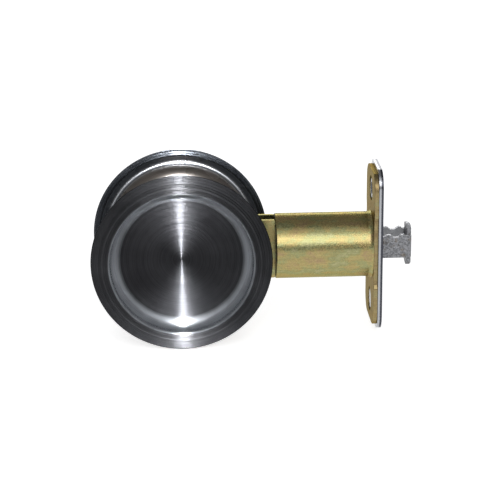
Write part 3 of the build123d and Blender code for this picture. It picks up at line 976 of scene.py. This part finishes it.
def spun_finish(name):
    finish = Finish(name)
    cup = CupZones(finish)
    bands = finish.rings(cup.run, *BAND_NOISE)
    cloud = finish.noise(cup.at, CLOUD_SCALE)
    tone = finish.vary(bands, *BAND_TONES) * finish.vary(cloud, *CLOUD_TONES)
    base = finish.scaled(cup_colour(finish, cup), tone)
    rest_of_back = (1 - cup.front - cup.seat) * (1 - cup.heel)
    metal = 1 - (cup.recess_wall * cup.front + rest_of_back) * NON_METAL_SHARE
    rougher = (1 - cup.front - cup.seat * SEAT_SMOOTHER) * BACK_ROUGHER
    normal = grooved(finish, cup, bands)
    tight, wide = (
        finish.principled(Base_Color=base, Metallic=metal, Normal=normal, Specular_Tint=EDGE_TINT,
                          Roughness=finish.vary(cloud, *gloss) + rougher)
        for gloss in (TIGHT_GLOSS, WIDE_GLOSS)
    )
    share = (1 - cup.recess_wall) * cup.front * WIDE_SHARE
    return finish.close(finish.node("ShaderNodeMixShader", {}, {0: share, 1: tight, 2: wide}))


dark_satin = spun_finish("dark_satin_spun")

# %% [markdown]
# ## Yellow zinc
# The latch is zinc-plated steel. The tube and the plates were dipped in a yellow chromate bath,
# whose film is thin enough to shimmer from gold to green and rose; its thickness is a slow noise,
# drawn out along the latch, and a colour ramp turns it into the hue. A fine grain and long
# scratches dull it here and there. The backing plate came out of its bath browner.

# %% Yellow zinc
DRAWN_ALONG = (0.55, 1, 1)
SCRATCHES = (0.09, 2.6, 2.6)
# A noise is its scale, its detail and, where it is given, its roughness.
FILM_NOISE = (0.24, 6.0, 0.68)
GRAIN_NOISE = (1.7, 4.0)
GRAIN_TONES = (0.88, 1.1)
SCRATCH_SPAN = (0.42, 0.62)
SCRATCH_TONES = (0.92, 1.04)


def yellow_film(name, hues, rough, shine, edge_tint):
    finish = Finish(name)
    thickness = finish.noise(finish.place(DRAWN_ALONG), *FILM_NOISE)
    hue = finish.node("ShaderNodeValToRGB", {"stops": hues}, {"Fac": thickness})
    grain = finish.noise(finish.place(), *GRAIN_NOISE)
    scratch = finish.noise(finish.place(SCRATCHES), 1.0)
    dull = finish.fade(scratch, *SCRATCH_SPAN, *SCRATCH_TONES) * finish.vary(grain, *GRAIN_TONES)
    return finish.close(finish.principled(
        Base_Color=finish.scaled(hue, dull),
        Metallic=1.0,
        Roughness=finish.vary(grain, rough - 0.05, rough + 0.06),
        Normal=finish.bump(grain, strength=0.15, distance=0.2),
        Coat_Weight=shine,
        Coat_Roughness=0.1,
        Specular_Tint=(*edge_tint, 1.0),
    ))


# A hue is the thickness at which it shows, and its colour.
ROSE = (0.34, (0.36, 0.265, 0.14))
GOLD = (0.46, (0.38, 0.31, 0.13))
OLIVE = (0.56, (0.3, 0.3, 0.14))
STRAW = (0.68, (0.4, 0.37, 0.2))
BROWN = (0.34, (0.235, 0.17, 0.085))
TAN = (0.5, (0.32, 0.25, 0.12))
MOSS = (0.64, (0.28, 0.26, 0.14))
yellow_zinc = yellow_film("chromate_gold", [ROSE, GOLD, OLIVE, STRAW],
                          rough=0.3, shine=0.08, edge_tint=(0.7, 0.64, 0.45))
brown_zinc = yellow_film("chromate_brown", [BROWN, TAN, MOSS],
                         rough=0.38, shine=0.0, edge_tint=(0.55, 0.48, 0.34))

# %% [markdown]
# ## Clear zinc
# The pull has clear zinc over a coarse, tumbled surface: every small crystal leans its own way, so
# each cell of a Voronoi pattern tilts the normal by its own random amount, and some of them flash.
# Its upper edges and the inside of its far wall are painted lighter: a painted highlight on the edges,
# and painted light on the far wall, which lies in the shade of the near one. The posts, rivets and
# pins have the same zinc with smaller crystals.

# %% Clear zinc
MIDDLE_GREY = (0.5, 0.5, 0.5)
FACING_UP = (0.35, 0.85)
FACING_NEAR = (-0.5, -0.9)
FAR_WALL_IN = (PULL_INNER - 1.1, PULL_INNER - 0.5)
# Faces turned up, which get the painted highlight, are a little smoother.
UPWARD_SMOOTHER = 0.15
STAIN_NOISE = (0.45, 5.0, 0.6)
STAIN_SPAN = (0.52, 0.68)
STAIN_SHARES = (0.0, 0.75)
CRYSTAL_TONES = (0.66, 1.34)


def crystal_zinc(name, colour, stain, cells, lean, rough, metallic=1.0, painted_bright=None):
    finish = Finish(name)
    at = finish.place()
    normal = finish.normal()
    crystal = finish.node("ShaderNodeTexVoronoi", {"feature": "F1"}, {"Vector": at, "Scale": cells}, output=1)
    lean_by = finish.scaled(finish.vector("SUBTRACT", crystal, MIDDLE_GREY), lean)
    cloud = finish.noise(at, *STAIN_NOISE)
    stained = finish.blend(finish.fade(cloud, *STAIN_SPAN, *STAIN_SHARES), colour, stain)
    glint = finish.node("ShaderNodeSeparateColor", {}, {"Color": crystal})
    base = finish.scaled(stained, finish.fade(glint, 0.0, 1.0, *CRYSTAL_TONES))
    roughness = finish.vary(cloud, rough - 0.06, rough + 0.08)
    # Painted light: faces turned up get a painted highlight, and the inside of the far wall is painted
    # lighter against the shade of the near wall.
    if painted_bright:
        top = finish.fade(finish.axis(normal, 2), *FACING_UP)
        far_wall = finish.fade(finish.axis(at, 1), *FAR_WALL_IN)
        inside = far_wall * finish.fade(finish.axis(normal, 1), *FACING_NEAR)
        base = finish.blend(top, base, painted_bright)
        base = finish.blend(inside, base, painted_bright)
        roughness = roughness - top * UPWARD_SMOOTHER
    return finish.close(finish.principled(
        Base_Color=base,
        Metallic=metallic,
        Roughness=roughness,
        Normal=finish.unit(finish.vector("ADD", normal, lean_by)),
    ))


# The last colour given to the pull is its painted highlight and painted light.
pull_zinc = crystal_zinc("tumbled_zinc", colour=(0.26, 0.265, 0.28), stain=(0.19, 0.155, 0.115),
                         cells=2.5, lean=0.34, rough=0.46, metallic=0.55, painted_bright=(0.6, 0.61, 0.63))
clear_zinc = crystal_zinc("clear_zinc", colour=(0.36, 0.365, 0.375), stain=(0.3, 0.285, 0.255),
                          cells=4.0, lean=0.12, rough=0.3)

# %% [markdown]
# ## Brushed and moulded
# The screws are dark, the leaf is bright spring steel, and the guides are moulded in black plastic.
# All of them show fine lines or a fine grain, which is one noise that is stretched in the direction
# of the lines: it changes the tone and the roughness a little and gives a faint relief.

# %% Brushed and moulded
LENGTHWAYS = (0.18, 5, 5)
EVEN = (3, 3, 3)
LINE_NOISE = (1.0, 4.0, 0.65)
LINE_TONES = (0.88, 1.1)
LINE_ROUGHNESS = 0.06
PATCH_SCALE = 0.3
PATCH_SPAN = (0.35, 0.65)


def brush_lines(finish, base, rough, stretch, metallic):
    """Ends a material in a colour with fine lines over it."""
    lines = finish.noise(finish.place(stretch), *LINE_NOISE)
    return finish.close(finish.principled(
        Base_Color=finish.scaled(base, finish.vary(lines, *LINE_TONES)),
        Metallic=metallic,
        Roughness=finish.vary(lines, rough - LINE_ROUGHNESS, rough + LINE_ROUGHNESS),
        Normal=finish.bump(lines, strength=0.06, distance=0.1),
    ))


def brushed(name, colour, other, rough, stretch, metallic=1.0):
    finish = Finish(name)
    patches = finish.noise(finish.place(), PATCH_SCALE)
    base = finish.blend(finish.fade(patches, *PATCH_SPAN), colour, other)
    return brush_lines(finish, base, rough, stretch, metallic)


dark_screw = brushed("dark_screw", (0.09, 0.092, 0.1), (0.075, 0.077, 0.084), rough=0.3, stretch=EVEN)
spring_steel = brushed("leaf_steel", (0.32, 0.33, 0.35), (0.36, 0.36, 0.37), rough=0.26, stretch=LENGTHWAYS)
guide_plastic = brushed("moulded_black", (0.03, 0.03, 0.032), (0.036, 0.036, 0.038),
                        rough=0.5, stretch=EVEN, metallic=0.0)

# %% [markdown]
# ## Faceplate finish
# The faceplate was brushed lengthways on a belt before plating, so its lines run up and down. The
# front part of its rim is painted dark as a painted reflection, with bright metal behind: a noise
# pushes the border between the two to and fro.

# %% Faceplate finish
UPRIGHT = (5, 5, 0.18)
BARE_METAL = (0.4, 0.41, 0.43)
# Painted reflection: the dark tone of the rim's front.
PAINTED_DARK_FRONT = (0.06, 0.062, 0.074)
DARK_BORDER = FACE - 0.75
DARK_FEATHER = 0.08
DARK_RAGGED = 0.5
RAGGED_SCALE = 2.2


def show_plate(name, rough):
    finish = Finish(name)
    at = finish.place()
    # Painted reflection: the front of the plate, up to a ragged border, is painted dark.
    ragged = (finish.noise(at, RAGGED_SCALE) - 0.5) * DARK_RAGGED
    depth = finish.axis(at, 0) + ragged
    front = finish.fade(depth, DARK_BORDER - DARK_FEATHER, DARK_BORDER + DARK_FEATHER)
    base = finish.blend(front, BARE_METAL, PAINTED_DARK_FRONT)
    return brush_lines(finish, base, rough, UPRIGHT, metallic=1.0)


satin_plate = show_plate("show_plate", rough=0.26)


# %% [markdown]
# ## Every piece gets its finish
# A CAD node that still shows, such as a pin or a guide, gets a finish as well. Its mesh stays as it
# is, and only its material changes.

# %% Every piece gets its finish
def wear(piece, material):
    piece.data.materials.clear()
    piece.data.materials.append(material)


pins = [nodes[name] for name in ("stop_pin", "guide_pin", "spring_rivet")]
finish_of = {
    dark_satin: [near_cup, far_cup],
    dark_screw: screws,
    yellow_zinc: [tube, near_tail, far_tail],
    brown_zinc: [backing],
    satin_plate: [faceplate],
    pull_zinc: [pull],
    clear_zinc: posts + spacers + pins,
    spring_steel: [nodes["detent_spring"]],
    guide_plastic: [nodes["front_guide"], nodes["rear_bush"]],
}
for material, pieces in finish_of.items():
    for piece in pieces:
        wear(piece, material)
    print(material.name, "is on", ", ".join(piece.name for piece in pieces))

# %% [markdown]
# ## Floor
# The lock was photographed on white. The floor has to be white for the camera and in the metal
# that mirrors it, and it still has to take a shadow. So its material adds two things: a matt
# surface that the lamps light, and a glow that only camera rays and mirrored rays can see.
# The floor and the lamps are measured in metres.

# %% Floor
FLOOR_RADIUS = 6.0
FLOOR_SIDES = 96
FLOOR_MATT = (0.8, 0.8, 0.8, 1.0)
FLOOR_GLOW = (1.0, 1.0, 1.0, 1.0)
GLOW_STRENGTH = 0.72
deselect()
bpy.ops.mesh.primitive_circle_add(vertices=FLOOR_SIDES, radius=FLOOR_RADIUS, fill_type="NGON",
                                  location=(0, 0, cad_box[0].z))
floor = bpy.context.object
floor.name = "floor"
finish = Finish("pale_floor")
CAMERA_RAY, GLOSSY_RAY, TRANSMISSION_RAY = 0, 3, 6
camera_ray, glossy_ray, transmission_ray = (
    finish.node("ShaderNodeLightPath", output=ray) for ray in (CAMERA_RAY, GLOSSY_RAY, TRANSMISSION_RAY)
)
shown = finish.maths("MINIMUM", camera_ray + glossy_ray + transmission_ray, 1.0)
matt = finish.node("ShaderNodeBsdfDiffuse", {}, {"Color": FLOOR_MATT})
glow = finish.node("ShaderNodeEmission", {}, {"Color": FLOOR_GLOW, "Strength": shown * GLOW_STRENGTH})
wear(floor, finish.close(finish.node("ShaderNodeAddShader", {}, {0: matt, 1: glow})))
print("the floor lies at", round(floor.location.z / MM, 2), "mm")

# %% [markdown]
# ## Light
# Metal shows the room around it, so each lamp is there for one reflection. A large soft box in
# front and above draws the light band along the tube, and a weak one over it lets that band fade
# upwards. A long low one behind puts a bright line on every upper edge. A narrow strip on each
# side makes the two bright wedges in the cups: a photographer would screen it off from the latch,
# and here its light is linked to the cups alone. The world is an even grey, which fills the
# shadows.


# %% Lamps
def softbox(name, place, aim, width, height, power):
    lamp = bpy.data.lights.new(name, "AREA")
    lamp.shape = "RECTANGLE"
    lamp.size = width
    lamp.size_y = height
    lamp.energy = power
    box = bpy.data.objects.new(name, lamp)
    bpy.context.scene.collection.objects.link(box)
    box.matrix_world = facing(place, aim)
    print(name, "gives", power, "W")
    return box


LATCH_MIDDLE = (0.03, 0, 0)
CUPS_MIDDLE = (0, 0, 0)
softbox("front_soft", (0.05, -1.2, 0.85), LATCH_MIDDLE, width=0.8, height=0.8, power=7.0)
softbox("top_soft", (0.05, -0.6, 1.2), LATCH_MIDDLE, width=1.2, height=0.6, power=1.6)
softbox("back_rim", (0.0, 1.2, 0.38), LATCH_MIDDLE, width=1.4, height=0.3, power=4.2)
lit_by_strips = bpy.data.collections.new("lit_by_strips")
for piece in (near_cup, far_cup):
    lit_by_strips.objects.link(piece)
for name, side in (("front_strip", -1), ("back_strip", 1)):
    strip = softbox(name, (0.0, side * 1.0, 0.45), CUPS_MIDDLE, width=0.08, height=0.9, power=115.0)
    strip.visible_diffuse = False
    strip.light_linking.receiver_collection = lit_by_strips

# %% World
WORLD_GREY = (0.25, 0.25, 0.255, 1.0)
world = bpy.data.worlds.new("studio")
world.use_nodes = True
background = world.node_tree.nodes["Background"]
background.inputs["Color"].default_value = WORLD_GREY
background.inputs["Strength"].default_value = 1.0
bpy.context.scene.world = world
bpy.context.scene.view_settings.view_transform = "Standard"
print("the view transform is", bpy.context.scene.view_settings.view_transform)
